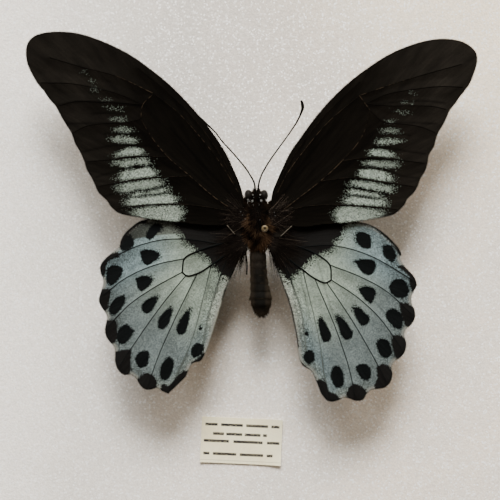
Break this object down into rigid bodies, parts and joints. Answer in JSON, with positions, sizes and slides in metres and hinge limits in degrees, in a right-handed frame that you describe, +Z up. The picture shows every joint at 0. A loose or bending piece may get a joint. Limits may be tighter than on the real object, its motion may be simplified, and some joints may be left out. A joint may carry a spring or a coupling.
{
  "type": "pinned butterfly specimen on a foam slab",
  "caption": "Spread swallowtail butterfly with spotted pale wings, pinned through the thorax into a white foam slab, with a small paper label lying below it.",
  "frame": {"origin": "middle of the foam slab's underside", "axes": "+Z up from the slab through the pin, +Y towards the butterfly's head, +X to its right wings"},
  "size_m": [0.15, 0.15, 0.0419],
  "materials": {
    "foam": "white closed-cell foam, finely pebbled",
    "paper": "cream paper card with ruled ink strokes",
    "steel": "dark insect pin wire",
    "pin_head": "glossy tan ring",
    "forewing": "velvety black scales with a speckled pale grey-green band",
    "hindwing": "pale blue-grey scales with black spots, veins and border",
    "body": "dark brown hair",
    "eye": "glossy grey brown",
    "limb": "dark brown, thinly scaled"
  },
  "bodies": {
    "root": {"foam_base": "foam", "label": "paper", "pin_shaft": "steel", "pin_head": "pin_head", "thorax": "body", "abdomen": "body", "head": "body", "left_eye": "eye", "right_eye": "eye", "left_antenna": "limb", "right_antenna": "limb", "left_palp": "limb", "right_palp": "limb", "proboscis": "limb", "left_forewing": "forewing", "right_forewing": "forewing", "left_hindwing": "hindwing", "right_hindwing": "hindwing", "left_front_leg": "limb", "left_middle_leg": "limb", "left_hind_leg": "limb", "right_front_leg": "limb", "right_middle_leg": "limb", "right_hind_leg": "limb"}
  },
  "joints": []
}
